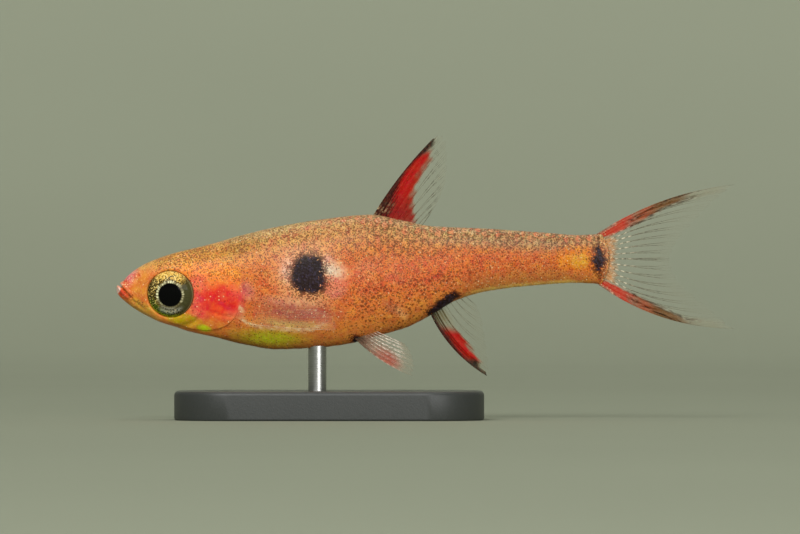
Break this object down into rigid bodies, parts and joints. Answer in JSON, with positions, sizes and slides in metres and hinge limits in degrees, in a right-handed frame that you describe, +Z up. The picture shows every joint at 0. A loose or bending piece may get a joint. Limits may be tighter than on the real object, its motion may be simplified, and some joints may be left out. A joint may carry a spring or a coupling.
{
  "type": "dwarf rasbora",
  "caption": "Life-size still model of a dwarf rasbora, a tiny orange-red aquarium fish with dark spots, held level on a plain display stand.",
  "frame": {"origin": "under the middle of the whole model, on the surface that the stand's base rests on", "axes": "+X towards the tail fin, so the head points to -X; +Y to the fish's right side; +Z up"},
  "size_m": [0.0256, 0.0072, 0.0118],
  "materials": {
    "skin": "moist orange-red skin with fine scales, dark specks and a satin shine",
    "eye": "wet, glossy, black pupil in a dark gold-flecked iris",
    "red_fin": "thin see-through membrane, red with a black leading edge",
    "clear_fin": "thin see-through membrane over fine rays",
    "stand_base": "satin, softly rounded edges",
    "stand_rod": "fine brushed"
  },
  "bodies": {
    "root": {"head": "skin", "trunk": "skin", "tail_stalk": "skin", "eye_left": "eye", "eye_right": "eye", "dorsal_fin": "red_fin", "anal_fin": "red_fin", "caudal_fin_upper": "clear_fin", "caudal_fin_lower": "clear_fin", "pelvic_fin_left": "clear_fin", "pelvic_fin_right": "clear_fin", "pectoral_fin_left": "clear_fin", "pectoral_fin_right": "clear_fin", "stand_base": "stand_base", "stand_rod": "stand_rod"}
  },
  "joints": []
}
